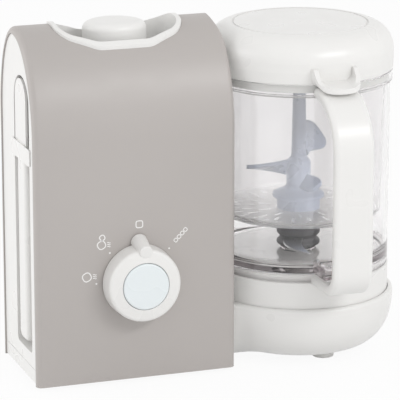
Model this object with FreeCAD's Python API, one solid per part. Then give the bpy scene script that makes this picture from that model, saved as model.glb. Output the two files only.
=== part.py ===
import FreeCAD
import Part
import math
import os

# Baby food maker: a water tower with a dial stands beside a clear steam-and-blend bowl on a driven base.
# Millimetres, +Z up, the front faces -Y. The origin lies on the table under the middle of the whole object.

V = FreeCAD.Vector
UP = V(0, 0, 1)
RIGHT = V(1, 0, 0)
BACK = V(0, 1, 0)

# Clearances
SEAT = 0.2          # flat pieces that rest on each other
FIT = 0.3           # pieces that slide into each other
RUN = 0.05          # shafts in their bearings
SNUG = 0.02         # pieces pressed together
CUT = 2.0           # overrun of a cutting tool

# Tower
TOWER_W = 150.0
TOWER_D = 90.5
TOWER_H = 256.0
TOWER_CLEAR = 3.0   # shell's lower edge above the table
CREST_SHARE = 0.5856 # crest's distance from the front as a share of the depth
FRONT_RISE = 76.0   # height of the front quarter arch
BACK_RISE = 66.0
SHELL_T = 3.0
SHELL_LIP = 5.0     # rim of the shell round each side panel
SHELL_EDGE_R = 4.2
PANEL_T = 3.0
PANEL_INSET = 1.0
LEFT_PANEL_Z = 14.0

# Bowl, lid and base
BOWL_R = 66.6
BOWL_T = 2.4
BOWL_FLOOR_T = 3.0
BOWL_RIM_H = 7.7
BOWL_RIM_SWELL = 1.7
BOWL_CORNER_R = 8.0
BOWL_EDGE_R = 0.8
BOWL_UNDER_R = 3.0   # hollow corner under the floor
COLLAR_H = 22.6
COLLAR_T = 2.5
COLLAR_SWELL = 0.2
COLLAR_EDGE_R = 1.2
COLLAR_FOOT_H = 8.0
FLOOR_RISE = 9.2    # bowl's inner floor above the collar
BASE_SWELL = 4.2
BASE_TOP = 47.0
BASE_T = 3.0
BASE_BELLY_Z = 41.0
BASE_SHOULDER_R = 2.6
BASE_BOTTOM_R = 46.0
NECK_TOP_W = 35.0    # half width of the base's neck at its top
NECK_LOW_W = 24.0
NECK_BLEND_R = 25.0  # hollow curve from the neck into the round base
DECK_DROP = 3.0
DECK_T = 2.8
PIVOT_T = 4.0        # foot bearing of the drive shaft
PIVOT_H = 4.0
BOWL_SETBACK = 47.0
LID_SWELL = 2.2
LID_NEST = 2.3      # how far the lid reaches into the tower's right side
TROUGH_GAP = 2.2    # room between the lid and the hollow in the tower
LID_H = 34.3
LID_DROP = 7.8      # lid's top under the tower's top
LID_T = 2.5
LID_GROOVE_R = 49.5
LID_GROOVE_W = 2.0
LID_GROOVE_D = 0.8
LID_CROWN = 1.4      # rise of the lid's disc inside the groove
LID_DRAFT = 0.6      # lid's side leans in by this much
LID_SKIRT_H = 4.0
LID_SEAL_W = 2.9
LID_EDGE_R = 0.8
LID_SHOULDER_R = 21.0
TAB_W = 17.0         # half width of the finger tab
TAB_T = 3.8
TAB_WALL = 3.4
TAB_CORNER_R = 7.0
TAB_REACH = 20.0
TAB_ROOT = 16.0      # how far the tab runs on inside the lid's edge
TAB_RISE = 12.0      # tab's side walls above the lid's lower edge
TAB_RIM = 1.2        # tab's rim above the lid's lower edge, at its lip
TAB_TILT = 5.0       # fall of the tab towards its lip, in degrees
TAB_GAP = 0.6        # room between the tab and the handle
HANDLE_REACH = 43.6  # from the bowl's wall to the outside of the grip
HANDLE_W = 30.0
HANDLE_T = 8.0
HANDLE_TOP_R = 42.0
HANDLE_LOW_R = 20.0
HANDLE_EDGE_R = 3.6
HANDLE_DROP = 1.6   # handle's top under the bowl's rim
HANDLE_ROOT = 8.0   # how far its arms run on inside the bowl's wall before they are cut to it
ARM_T = 8.0
ARM_SINK = 1.8      # lower arm's underside below the collar's top
LUG_W = 27.0
LUG_H = 11.0
LUG_REACH = 26.0     # from the bowl's wall towards the grip
LUG_EDGE_R = 5.0

# Steam basket, paddle and blade
BASKET_RISE = 31.0  # basket floor above the bowl floor
BASKET_T = 1.6
BASKET_FLOOR_T = 2.0
BASKET_GAP = 1.0     # room to the bowl's wall
BASKET_TAPER = 2.6
BASKET_RIM_T = 1.6
BASKET_FOOT_R = 5.0
PADDLE_PLAY = 0.8   # paddle's foot in the hole of the basket floor
SLOT_L = 9.0
SLOT_W = 2.2
SLOT_MARGIN = 3.0
SLOT_COUNTS = (10, 20, 28)
PADDLE_FOOT_R = 15.8
PADDLE_FOOT_RISE = 8.0   # foot's flange above the basket floor
PADDLE_FLANGE_R = 19.2
PADDLE_FLANGE_T = 2.6
PADDLE_CONE_H = 5.0
PADDLE_NECK_R = 9.0
PADDLE_NECK_H = 19.4
PADDLE_EASE = 4.0    # fall from the neck to the column
COLUMN_R = 5.5
PADDLE_RISE = 93.0  # top of the column above the basket floor
VANE_T = 3.0
VANE_ROOT_PITCH = 62.0
VANE_ANGLE = 159.0
# Each vane: height as a share of the column, reach and chord as shares of the bowl's radius,
# the tip's chord as a share of the root's, and the tip's pitch in degrees
VANES = ((0.32, 0.578, 0.285, 0.65, 12.0), (0.54, 0.465, 0.375, 0.9, 48.0), (0.226, 0.405, 0.225, 0.8, 30.0))
HUB_R = 16.0
HUB_WAIST_R = 13.0
HUB_H = 17.0
HUB_GAP = 2.8        # hub above the bowl's floor
HUB_CROWN_T = 5.0
STUB_R = 6.5
STUB_CORE_R = 3.5
STUB_H = 18.0
BLADE_REACH = 54.0
BLADE_W = 13.0
BLADE_T = 1.6
BLADE_RISE = 6.0     # blade above the hub's foot
BLADE_TURN = 63.0
SPINDLE_R = 4.0
BUSH_R = 9.0
BUSH_RISE = 2.0      # bush above the bowl's floor
BUSH_FLANGE = 2.5
BUSH_FLANGE_T = 1.5
BUSH_BOSS_T = 4.0    # bowl's boss round the bush

# Drive
DRIVE_R = 4.0
BEARING_R = 9.0
BEARING_H = 9.0      # bearing under the deck
BEARING_BOSS_T = 3.0
COUPLING_R = 14.0
COUPLING_T = 4.0
COUPLING_GAP = 0.6   # lower coupling above the deck
GUARD_GAP = 4.0      # ring on the deck round the coupling
GUARD_T = 2.0
GUARD_H = 3.0
DOG_R = 6.0
DOG_H = 6.4
DOG_INSET = 1.0
DOG_CLEAR = 1.0      # room at the dogs' ends
DOG_ANGLE = 40.0
BELT_RATIO = 3.0
MOTOR_PULLEY_R = 8.0
BELT_W = 8.0
BELT_T = 1.6
PULLEY_FLANGE_T = 1.5
BELT_Z = 16.0
MOTOR_R = 24.0
MOTOR_H = 68.0
MOTOR_EDGE_R = 3.0
MOTOR_SETBACK = 47.0  # motor axis inside the tower's right side
MOTOR_SHAFT_R = 2.5
SHAFT_END = 3.0      # motor shaft past the belt and the motor
BRACKET_T = 3.5
BRACKET_RISE = 8.0   # bracket's plate above the belt
BRACKET_EDGE_R = 5.0
BRACKET_POST_R = 4.5
POST_REACH = 20.0

# Water tank and steam
WELL_W = 48.0        # half length of the well across the tower
WELL_D = 28.5        # half width of the well, front to back
WELL_FLAT = 20.0     # half length of its straight front, before the corners are rounded
WELL_END = 18.0      # half length of its straight ends
WELL_R = 24.0
WELL_END_R = 18.0
WELL_BAND = 3.6
WELL_DEPTH = 34.0
WELL_FLOOR_T = 2.5
WELL_PROUD = 1.6
TANK_FORWARD = 3.0   # tank's axis before the crest
TANK_R = 28.0
TANK_T = 2.0
TANK_EDGE_R = 6.0
NECK_R = 17.5
NECK_T = 2.5
NECK_H = 14.0
CAP_W = 23.4         # half length of the cap's oval grip
CAP_D = 19.0
CAP_GRIP_H = 17.0
CAP_EDGE_R = 5.5
CAP_DOME = 2.6
CAP_FLANGE = 2.0     # flange past the neck's outside
CAP_FLANGE_T = 3.5
CAP_PLUG_H = 9.0
CAP_PLUG_T = 2.7
SEAL_T = 1.5
SEAL_LIP = 1.0       # seal past the neck's outside
HEATER_R = 22.0
HEATER_T = 4.0
ELEMENT_R = 15.0     # ring of the heating element
ELEMENT_T = 3.5
TERMINAL_GAP = 8.0   # each terminal beside the plate's middle
TERMINAL_W = 4.0
TERMINAL_T = 1.5
TERMINAL_H = 12.0
THERMOSTAT_R = 9.0
THERMOSTAT_H = 9.0
HEATER_GAP = 30.0    # heating plate above the motor
STEAM_R = 4.0
STEAM_BORE = 2.6
HOSE_DROP = 18.0     # hose's start under the tank's top
NOZZLE_FLANGE = 2.5
NOZZLE_FLANGE_T = 2.8
STEAM_RISE = 8.0     # nozzle above the lid's lower edge

# Dial
DIAL_Z = 76.4
DIAL_R = 27.5
DIAL_FACE_R = 26.6
DIAL_H = 17.0
DIAL_SHIFT = 1.3     # dial's axis to the right of the tower's middle
DIAL_GAP = 0.6
DIAL_CONE = 1.6      # fall of the face from the button to the rim
DIAL_BACK_R = 1.0
DIAL_EDGE_R = 3.0
DIAL_LIP_R = 0.6
PEG_BACK_R = 5.9
PEG_FRONT_R = 4.7
PEG_RADIUS = 29.0    # peg's centre from the dial's axis, at the panel
PEG_LEAN = 3.6       # the peg's fall towards its front end
PEG_PROUD = 0.4      # peg's front end before the dial's face
PEG_EDGE_R = 1.0
BUTTON_R = 17.0
BUTTON_H = 7.0
BUTTON_TRAVEL = 2.0
BUTTON_PROUD = 0.8
BUTTON_T = 3.0
BUTTON_EDGE_R = 1.4
SPRING_R = 8.0
SPRING_T = 1.5
SELECTOR_R = 3.0
SWITCH_W = 30.0
SWITCH_D = 22.0
SWITCH_WALL = 3.5
SWITCH_EDGE_R = 3.0
BOARD_W = 62.0
BOARD_H = 80.0
BOARD_T = 1.6
BOARD_REACH = 8.0    # board's right edge past the switch's axis
# Relay and transformer on the board: left, low, width and height as shares of the board, then depth
BOARD_BLOCKS = ((0.10, 0.62, 0.29, 0.18, 15.0), (0.10, 0.10, 0.39, 0.30, 18.0))
CAN_R = 4.5          # capacitors on the board
CAN_H = 12.0
CAN_SHARES = (0.18, 0.35, 0.52)

# Spatula and its recess
RECESS_W = 38.0
RECESS_SETBACK = 16.0
RECESS_BOTTOM = 24.0
RECESS_DROP = 31.5   # recess's top under the tower's top
RECESS_DEPTH = 13.0
RECESS_WALL = 2.0
RECESS_R = 4.0
SPATULA_W = 20.0
SPATULA_T = 12.7
SPATULA_EDGE_R = 3.5
SPATULA_LIFT = 4.0   # its lower end above the recess's floor
SCRAPER_W = 27.0     # thin blade at the top
SCRAPER_T = 1.6
SCRAPER_GAP = 3.0    # blade's round end under the recess's top
SCRAPER_BACK = 1.5   # blade's edge before the recess's back edge
STRAP_Z = 169.0      # cross strap between handle and blade
STRAP_H = 12.0
STRAP_PROUD = 1.0
STRAP_FRONT = 3.0    # strap past the recess's front edge
STRAP_BACK = 5.0
STRAP_R = 1.5

# Feet, cover and gland
FOOT_R = 8.0
FOOT_EDGE_R = 1.0
BASE_FOOT_H = 6.0
BASE_FOOT_RADIUS = 35.0
BASE_FOOT_TURN = -78.0
COVER_T = 2.5
COVER_RISE = 1.0     # cover's underside above the shell's lower edge
FOOT_INSET = 14.0
FOOT_SETBACK = 20.0
SCREW_R = 1.5
SCREW_HEAD_R = 3.2
SCREW_HEAD_H = 1.6
SCREW_GRIP = 8.0     # thread in the bracket's post
GLAND_R = 7.0
GLAND_BORE = 3.6
GLAND_FLANGE = 3.0
GLAND_FLANGE_T = 2.5
GLAND_INSET = 34.0
GLAND_Z = 24.0

# Places worked out from the sizes above
LID_R = BOWL_R + LID_SWELL
BASE_R = BOWL_R + BASE_SWELL
COLLAR_R = BOWL_R + COLLAR_SWELL
RIM_R = BOWL_R + BOWL_RIM_SWELL
GRIP_R = BOWL_R + HANDLE_REACH
TROUGH_R = LID_R + TROUGH_GAP
TOWER_LEFT = -(TOWER_W + LID_R - LID_NEST + BASE_R) / 2
TOWER_RIGHT = TOWER_LEFT + TOWER_W
TOWER_X = (TOWER_LEFT + TOWER_RIGHT) / 2
DIAL_X = TOWER_X + DIAL_SHIFT
BOWL_X = TOWER_RIGHT + LID_R - LID_NEST
BOWL_Y = (GRIP_R - BASE_R) / 2
TOWER_FRONT = BOWL_Y - BOWL_SETBACK
TOWER_BACK = TOWER_FRONT + TOWER_D
CREST_Y = TOWER_FRONT + CREST_SHARE * TOWER_D
TANK_Y = CREST_Y - TANK_FORWARD
DECK_Z = BASE_TOP - DECK_DROP
COLLAR_Z = DECK_Z + SEAT
COLLAR_TOP = COLLAR_Z + COLLAR_H
FLOOR_Z = COLLAR_TOP + FLOOR_RISE
RIM_Z = TOWER_H - LID_DROP - LID_H - SEAT
LEDGE_Z = RIM_Z - BOWL_RIM_H
BOWL_INNER_R = BOWL_R - BOWL_T
BASKET_Z = FLOOR_Z + BASKET_RISE
LID_Z = RIM_Z + SEAT
HUB_Z = FLOOR_Z + HUB_GAP
COVER_Z = TOWER_CLEAR + COVER_RISE
COVER_TOP = COVER_Z + COVER_T
MOTOR_X = TOWER_RIGHT - MOTOR_SETBACK
DRIVE_PULLEY_R = MOTOR_PULLEY_R * BELT_RATIO
BRACKET_Z = BELT_Z + BELT_W + BRACKET_RISE
MOTOR_Z = BRACKET_Z + BRACKET_T
HEATER_Z = MOTOR_Z + MOTOR_H + HEATER_GAP
WELL_Z = TOWER_H - WELL_DEPTH
RECESS_TOP = TOWER_H - RECESS_DROP
TANK_TOP = WELL_Z - WELL_FLOOR_T - SEAT
TANK_Z = HEATER_Z + HEATER_T
NECK_TOP = TANK_TOP + NECK_H + WELL_FLOOR_T
COUPLING_Z = DECK_Z + COUPLING_GAP
DRIVEN_Z = COUPLING_Z + COUPLING_T + DOG_H + DOG_CLEAR
BUSH_Z = DRIVEN_Z + COUPLING_T + FIT


# Shape helpers

def on_side(x):
    """Maps (y, z) to the upright plane at x."""
    return lambda y, z: V(x, y, z)


def on_front(y):
    """Maps (x, z) to the upright plane at y."""
    return lambda x, z: V(x, y, z)


def on_plan(z):
    """Maps (x, y) to the level plane at z."""
    return lambda x, y: V(x, y, z)


def rounded_wire(corners, place):
    """Closed wire through (a, b, radius) corners, with an arc at each corner that has a radius."""
    arcs = []
    for i, (a, b, radius) in enumerate(corners):
        here = V(a, b, 0)
        before = V(*corners[i - 1][:2], 0) - here
        after = V(*corners[(i + 1) % len(corners)][:2], 0) - here
        before.normalize()
        after.normalize()
        half = before.getAngle(after) / 2
        if radius == 0 or half > math.pi / 2 - 1e-4:
            arcs.append((here, None, here))
            continue
        middle = before + after
        middle.normalize()
        reach = radius / math.tan(half)
        crown = here + middle * (radius / math.sin(half) - radius)
        arcs.append((here + before * reach, crown, here + after * reach))
    edges = []
    for i, (start, crown, end) in enumerate(arcs):
        if crown:
            points = [place(p.x, p.y) for p in (start, crown, end)]
            edges.append(Part.Arc(*points).toShape())
        following = arcs[(i + 1) % len(arcs)][0]
        if end.distanceToPoint(following) > 1e-5:
            edges.append(Part.LineSegment(place(end.x, end.y), place(following.x, following.y)).toShape())
    return Part.Wire(edges)


def prism(corners, place, along):
    """Solid from a rounded outline pushed along a vector."""
    return Part.Face(rounded_wire(corners, place)).extrude(along)


def turned(corners, x, y):
    """Solid turned about the upright axis at (x, y) from (radius, height) corners."""
    face = Part.Face(rounded_wire(corners, lambda r, z: V(x + r, y, z)))
    return face.revolve(V(x, y, 0), UP, 360)


def disc(radius, low, high, x, y):
    return Part.makeCylinder(radius, high - low, V(x, y, low))


def ring(outer, inner, low, high, x, y):
    return disc(outer, low, high, x, y).cut(disc(inner, low - CUT, high + CUT, x, y))


def rod_y(radius, front, back, x, z):
    return Part.makeCylinder(radius, back - front, V(x, front, z), BACK)


def box(low, high):
    size = [b - a for a, b in zip(low, high)]
    return Part.makeBox(*size, V(*low))


def rectangle(a0, b0, a1, b1, radius=0.0):
    """Corners of a rounded rectangle."""
    return [(a0, b0, radius), (a1, b0, radius), (a1, b1, radius), (a0, b1, radius)]


def fused(first, *others):
    return first.fuse(list(others)).removeSplitter()


def edges_where(shape, test):
    return [edge for edge in shape.Edges if test(edge.BoundBox)]


def tower_block(inset, x0, x1, z0):
    """Slice of the tower between two x planes, drawn in by an inset all round its arched outline."""
    place = on_side(x0)
    front = TOWER_FRONT + inset
    back = TOWER_BACK - inset
    top = TOWER_H - inset
    front_knee = TOWER_H - FRONT_RISE
    back_knee = TOWER_H - BACK_RISE
    crest = place(CREST_Y, top)
    arches = []
    for wall_y, knee in ((front, front_knee), (back, back_knee)):
        centre = place(CREST_Y, knee)
        ellipse = Part.Ellipse(crest, place(wall_y, knee), centre)
        wall = place(wall_y, knee)
        first, last = sorted((ellipse.parameter(wall), ellipse.parameter(crest)))
        if last - first > math.pi:
            first, last = last, first + 2 * math.pi
        arches.append(Part.ArcOfEllipse(ellipse, first, last).toShape())
    lines = [Part.makeLine(place(front, z0), place(front, front_knee)),
             Part.makeLine(place(back, back_knee), place(back, z0)),
             Part.makeLine(place(back, z0), place(front, z0))]
    wire = Part.Wire(Part.__sortEdges__(arches + lines))
    return Part.Face(wire).extrude(V(x1 - x0, 0, 0))


def oval_plug(half_x, half_y, low, high, x, y):
    """Upright solid with an oval plan."""
    oval = Part.Ellipse(V(x, y, low), half_x, half_y)
    return Part.Face(Part.Wire(oval.toShape())).extrude(UP * (high - low))


def well_plug(inset, low):
    """The well in the tower's top as a solid: a long opening with soft corners, drawn in by an inset."""
    quarter = [(WELL_FLAT, WELL_D, WELL_R), (WELL_W, WELL_END, WELL_END_R)]
    corners = [(TOWER_X + a, TANK_Y - b, r) for a, b, r in quarter]
    corners += [(TOWER_X + a, TANK_Y + b, r) for a, b, r in reversed(quarter)]
    corners += [(TOWER_X - a, TANK_Y + b, r) for a, b, r in quarter]
    corners += [(TOWER_X - a, TANK_Y - b, r) for a, b, r in reversed(quarter)]
    plan = Part.Face(rounded_wire(corners, on_plan(low)))
    if inset:
        plan = plan.makeOffset2D(-inset)
    return plan.extrude(UP * (TOWER_H + WELL_PROUD + CUT - low))


def recess_outline(grow):
    """Outline of the spatula recess on the left side, with a round top."""
    front = TOWER_FRONT + RECESS_SETBACK - grow
    back = TOWER_FRONT + RECESS_SETBACK + RECESS_W + grow
    top_r = (back - front) / 2 - 0.01
    return [(front, RECESS_BOTTOM - grow, RECESS_R), (back, RECESS_BOTTOM - grow, RECESS_R),
            (back, RECESS_TOP + grow, top_r), (front, RECESS_TOP + grow, top_r)]


# Tower casing

def outer_shell():
    block = tower_block(0, TOWER_LEFT, TOWER_RIGHT, TOWER_CLEAR)
    rim = edges_where(block, lambda b: b.XLength < 1e-6 and b.ZMax > TOWER_CLEAR + 1e-6)
    block = block.makeFillet(SHELL_EDGE_R, rim)
    below = TOWER_CLEAR - CUT
    hollow = tower_block(SHELL_T, TOWER_LEFT + SHELL_T, TOWER_RIGHT - SHELL_T, below)
    windows = tower_block(SHELL_LIP, TOWER_LEFT - CUT, TOWER_RIGHT + CUT, below)
    well = well_plug(0, WELL_Z - WELL_FLOOR_T)
    dial_hole = rod_y(SELECTOR_R + FIT, TOWER_FRONT - CUT, TOWER_FRONT + SHELL_T + CUT, DIAL_X, DIAL_Z)
    gland_hole = rod_y(GLAND_R + SEAT, TOWER_BACK - SHELL_T - CUT, TOWER_BACK + CUT,
                       TOWER_LEFT + GLAND_INSET, GLAND_Z)
    nest = disc(TROUGH_R, BASE_TOP, TOWER_H + CUT, BOWL_X, BOWL_Y)
    return block.cut([hollow, windows, well, dial_hole, gland_hole, nest])


def left_side_panel():
    outer_x = TOWER_LEFT + PANEL_INSET
    plate = tower_block(SHELL_LIP + FIT, outer_x, outer_x + PANEL_T, LEFT_PANEL_Z)
    floor_x = outer_x + RECESS_DEPTH
    pocket = prism(recess_outline(RECESS_WALL), on_side(outer_x), RIGHT * (RECESS_DEPTH + RECESS_WALL))
    pocket = pocket.common(tower_block(SHELL_LIP + FIT, outer_x, TOWER_RIGHT, LEFT_PANEL_Z))
    opening = prism(recess_outline(0), on_side(outer_x - CUT), RIGHT * (floor_x - outer_x + CUT))
    return fused(plate, pocket).cut(opening)


def right_side_panel():
    outer_x = TOWER_RIGHT - PANEL_INSET
    low = BASE_TOP + FIT
    deep = TOWER_RIGHT - LID_NEST - TROUGH_GAP - PANEL_T - CUT
    plate = tower_block(SHELL_LIP + FIT, outer_x - PANEL_T, outer_x, low)
    wall = disc(TROUGH_R + PANEL_T, low, TOWER_H, BOWL_X, BOWL_Y)
    behind_lip = tower_block(SHELL_T + FIT, deep, TOWER_RIGHT - SHELL_T - FIT, low).common(wall)
    in_window = tower_block(SHELL_LIP + FIT, deep, outer_x, low).common(wall)
    panel = fused(plate, behind_lip, in_window)
    trough = disc(TROUGH_R, low - CUT, TOWER_H + CUT, BOWL_X, BOWL_Y)
    nozzle = Part.makeCylinder(STEAM_R + FIT, TOWER_W, V(TOWER_X, BOWL_Y, LID_Z + STEAM_RISE), RIGHT)
    return panel.cut([trough, nozzle])


def well_liner():
    low = WELL_Z - WELL_FLOOR_T
    dish = well_plug(SEAT, low)
    crown = tower_block(-WELL_PROUD, TOWER_LEFT, TOWER_RIGHT, low)
    inside = well_plug(WELL_BAND, WELL_Z)
    neck_hole = disc(NECK_R + FIT, low - CUT, WELL_Z + CUT, TOWER_X, TANK_Y)
    return dish.common(crown).cut([inside, neck_hole])


def post_places():
    """Where the motor bracket's posts stand on the bottom cover."""
    return [(MOTOR_X + side * POST_REACH, BOWL_Y + way * POST_REACH) for side in (-1, 1) for way in (-1, 1)]


def bottom_cover():
    edge = SHELL_T + FIT
    plate = box((TOWER_LEFT + edge, TOWER_FRONT + edge, COVER_Z),
                (TOWER_RIGHT - edge - PANEL_T, TOWER_BACK - edge, COVER_TOP))
    side_x = TOWER_LEFT + PANEL_INSET
    lip = SHELL_LIP + FIT
    skirt = box((side_x, TOWER_FRONT + lip, COVER_Z),
                (side_x + PANEL_T + edge, TOWER_BACK - lip, LEFT_PANEL_Z - FIT))
    room = box((side_x + PANEL_T, TOWER_FRONT, COVER_TOP), (side_x + TOWER_W, TOWER_BACK, TOWER_H))
    holes = [disc(SCREW_R + FIT, COVER_Z - CUT, COVER_TOP + CUT, x, y) for x, y in post_places()]
    return fused(plate, skirt).cut([room] + holes)


def cover_screws():
    screws = []
    for x, y in post_places():
        head = disc(SCREW_HEAD_R, COVER_Z - SCREW_HEAD_H, COVER_Z, x, y)
        shank = disc(SCREW_R, COVER_Z - SEAT, COVER_TOP + SCREW_GRIP, x, y)
        screws.append(fused(head, shank))
    return Part.makeCompound(screws)


def feet():
    spots = []
    for x in (TOWER_LEFT + FOOT_INSET, TOWER_RIGHT - FOOT_INSET):
        for y in (TOWER_FRONT + FOOT_SETBACK, TOWER_BACK - FOOT_SETBACK):
            spots.append((x, y, COVER_Z))
    for step in range(3):
        angle = math.radians(BASE_FOOT_TURN + 120.0 * step)
        spots.append((BOWL_X + BASE_FOOT_RADIUS * math.cos(angle),
                      BOWL_Y + BASE_FOOT_RADIUS * math.sin(angle), BASE_FOOT_H))
    pads = []
    for x, y, top in spots:
        pads.append(turned([(0, 0, 0), (FOOT_R, 0, FOOT_EDGE_R), (FOOT_R, top, 0), (0, top, 0)], x, y))
    return Part.makeCompound(pads)


def cord_gland():
    x = TOWER_LEFT + GLAND_INSET
    inside = TOWER_BACK - SHELL_T
    wide = GLAND_R + GLAND_FLANGE
    sleeve = rod_y(GLAND_R, inside - 2 * GLAND_FLANGE_T, TOWER_BACK, x, GLAND_Z)
    outer_flange = rod_y(wide, TOWER_BACK, TOWER_BACK + GLAND_FLANGE_T, x, GLAND_Z)
    inner_flange = rod_y(wide, inside - GLAND_FLANGE_T, inside, x, GLAND_Z)
    bore = rod_y(GLAND_BORE, inside - TOWER_D, TOWER_BACK + TOWER_D, x, GLAND_Z)
    return fused(sleeve, outer_flange, inner_flange).cut(bore)


# Water tank and steam path

def water_tank():
    inner = TANK_R - TANK_T
    shoulder = TANK_TOP - NECK_T
    return turned([(0, TANK_Z, 0), (TANK_R, TANK_Z, TANK_EDGE_R), (TANK_R, TANK_TOP, TANK_EDGE_R + TANK_T),
                   (NECK_R, TANK_TOP, 0), (NECK_R, NECK_TOP, 0), (NECK_R - NECK_T, NECK_TOP, 0),
                   (NECK_R - NECK_T, shoulder, 0), (inner, shoulder, TANK_EDGE_R),
                   (inner, TANK_Z + TANK_T, TANK_EDGE_R - TANK_T), (0, TANK_Z + TANK_T, 0)], TOWER_X, TANK_Y)


def heating_plate():
    plate = disc(HEATER_R, HEATER_Z, TANK_Z - SNUG, TOWER_X, TANK_Y)
    element = Part.makeTorus(ELEMENT_R, ELEMENT_T, V(TOWER_X, TANK_Y, HEATER_Z), UP)
    terminals = []
    for x in (TOWER_X - TERMINAL_GAP - TERMINAL_W / 2, TOWER_X + TERMINAL_GAP - TERMINAL_W / 2):
        y = TANK_Y + ELEMENT_R - ELEMENT_T
        terminals.append(box((x, y, HEATER_Z - TERMINAL_H), (x + TERMINAL_W, y + TERMINAL_T, HEATER_Z)))
    return fused(plate, element, *terminals)


def thermostat():
    low = HEATER_Z - THERMOSTAT_H
    step = low + THERMOSTAT_H / 3
    can = disc(THERMOSTAT_R, step, HEATER_Z - SNUG, TOWER_X, TANK_Y)
    return fused(can, disc(0.78 * THERMOSTAT_R, low, step, TOWER_X, TANK_Y))


def steam_hose():
    """Straight hose from the tank's side up to the nozzle."""
    end = V(nozzle_start(), BOWL_Y, LID_Z + STEAM_RISE)
    wall = V(TOWER_X + TANK_R, BOWL_Y, TANK_TOP - HOSE_DROP)
    way = end - wall
    way.normalize()
    tilt = abs(way.z)
    start = wall + way * (STEAM_R * tilt + FIT)
    stop = end - way * (STEAM_R * tilt + FIT)
    length = start.distanceToPoint(stop)
    return Part.makeCylinder(STEAM_R, length, start, way).cut(
        Part.makeCylinder(STEAM_BORE, length, start, way))


def nozzle_start():
    return TOWER_RIGHT - LID_NEST - TROUGH_GAP - PANEL_T - SEAT - NOZZLE_FLANGE_T


def steam_nozzle():
    start = nozzle_start()
    place = V(start, BOWL_Y, LID_Z + STEAM_RISE)
    length = TOWER_RIGHT - LID_NEST - TROUGH_GAP - start - FIT
    barrel = Part.makeCylinder(STEAM_R, length, place, RIGHT)
    flange = Part.makeCylinder(STEAM_R + NOZZLE_FLANGE, NOZZLE_FLANGE_T, place, RIGHT)
    return fused(barrel, flange).cut(Part.makeCylinder(STEAM_BORE, TOWER_W, place, RIGHT))


def boiler_cap_seal():
    return ring(NECK_R + SEAL_LIP, NECK_R - NECK_T + SEAT, NECK_TOP, NECK_TOP + SEAL_T, TOWER_X, TANK_Y)


def boiler_cap():
    """Cap with an oval domed grip, a flange over the neck and a plug in it."""
    flange_z = NECK_TOP + SEAL_T
    grip_z = flange_z + CAP_FLANGE_T
    plug_r = NECK_R - NECK_T - FIT
    flange = disc(NECK_R + CAP_FLANGE, flange_z, grip_z, TOWER_X, TANK_Y)
    plug = ring(plug_r, plug_r - CAP_PLUG_T, flange_z - CAP_PLUG_H, flange_z + CAP_FLANGE_T / 2,
                TOWER_X, TANK_Y)
    top = grip_z + CAP_GRIP_H
    dome_r = (CAP_W ** 2 + CAP_DOME ** 2) / (2 * CAP_DOME)
    dome = Part.makeSphere(dome_r, V(TOWER_X, TANK_Y, top - dome_r))
    grip = oval_plug(CAP_W, CAP_D, grip_z, top + CUT, TOWER_X, TANK_Y).common(dome)
    crown = edges_where(grip, lambda b: b.ZMin > top - 2 * CAP_DOME)
    grip = grip.makeFillet(CAP_EDGE_R, crown)
    return fused(flange, plug, grip)


# Dial and controls

def dial():
    """Round knob with a pointer peg and a pocket for the push button."""
    back = TOWER_FRONT - DIAL_GAP
    face = back - DIAL_H
    profile = Part.Face(rounded_wire(
        [(0, back, 0), (DIAL_R, back, DIAL_BACK_R), (DIAL_FACE_R, face + DIAL_CONE, DIAL_EDGE_R),
         (BUTTON_R + FIT, face, DIAL_LIP_R), (BUTTON_R + FIT, pocket_floor(), 0), (0, pocket_floor(), 0)],
        lambda r, y: V(DIAL_X + r, y, DIAL_Z)))
    knob = profile.revolve(V(DIAL_X, 0, DIAL_Z), BACK, 360)
    peg_face = face - PEG_PROUD
    peg_root = V(DIAL_X, back, DIAL_Z + PEG_RADIUS)
    peg_way = V(0, peg_face - back, -PEG_LEAN)
    peg = Part.makeCone(PEG_BACK_R, PEG_FRONT_R, peg_way.Length, peg_root, peg_way)
    peg = peg.makeFillet(PEG_EDGE_R, edges_where(peg, lambda b: b.YMax < back - DIAL_H / 2))
    peg = peg.cut(box((DIAL_X - DIAL_R, back, DIAL_Z), (DIAL_X + DIAL_R, back + CUT, DIAL_Z + 2 * DIAL_R)))
    shaft = rod_y(SELECTOR_R + SNUG, back - DIAL_H / 3, back + CUT, DIAL_X, DIAL_Z)
    return fused(knob, peg).cut(shaft)


def pocket_floor():
    """Front face of the floor in the dial's pocket."""
    return TOWER_FRONT - DIAL_GAP - DIAL_H + BUTTON_H + BUTTON_TRAVEL + FIT


def start_button():
    face = TOWER_FRONT - DIAL_GAP - DIAL_H - BUTTON_PROUD
    back = face + BUTTON_PROUD + BUTTON_H
    profile = Part.Face(rounded_wire(
        [(0, back, 0), (BUTTON_R, back, 0), (BUTTON_R, face, BUTTON_EDGE_R), (0, face, 0)],
        lambda r, y: V(DIAL_X + r, y, DIAL_Z)))
    cap = profile.revolve(V(DIAL_X, 0, DIAL_Z), BACK, 360)
    hollow = rod_y(BUTTON_R - BUTTON_T, back - BUTTON_H + BUTTON_T, back + CUT, DIAL_X, DIAL_Z)
    return cap.cut(hollow)


def button_spring():
    """Return spring between the button's crown and the pocket floor, shown as its outer sleeve."""
    face = TOWER_FRONT - DIAL_GAP - DIAL_H
    front = face + BUTTON_T + FIT
    outer = rod_y(SPRING_R, front, pocket_floor() - SEAT, DIAL_X, DIAL_Z)
    return outer.cut(rod_y(SPRING_R - SPRING_T, front - CUT, pocket_floor() + CUT, DIAL_X, DIAL_Z))


def selector_shaft():
    back = TOWER_FRONT - DIAL_GAP
    end = switch_front() + SWITCH_D - SWITCH_WALL - FIT
    return rod_y(SELECTOR_R, back - DIAL_H / 3 + SEAT, end, DIAL_X, DIAL_Z)


def switch_front():
    return TOWER_FRONT + SHELL_T + SEAT


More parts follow.
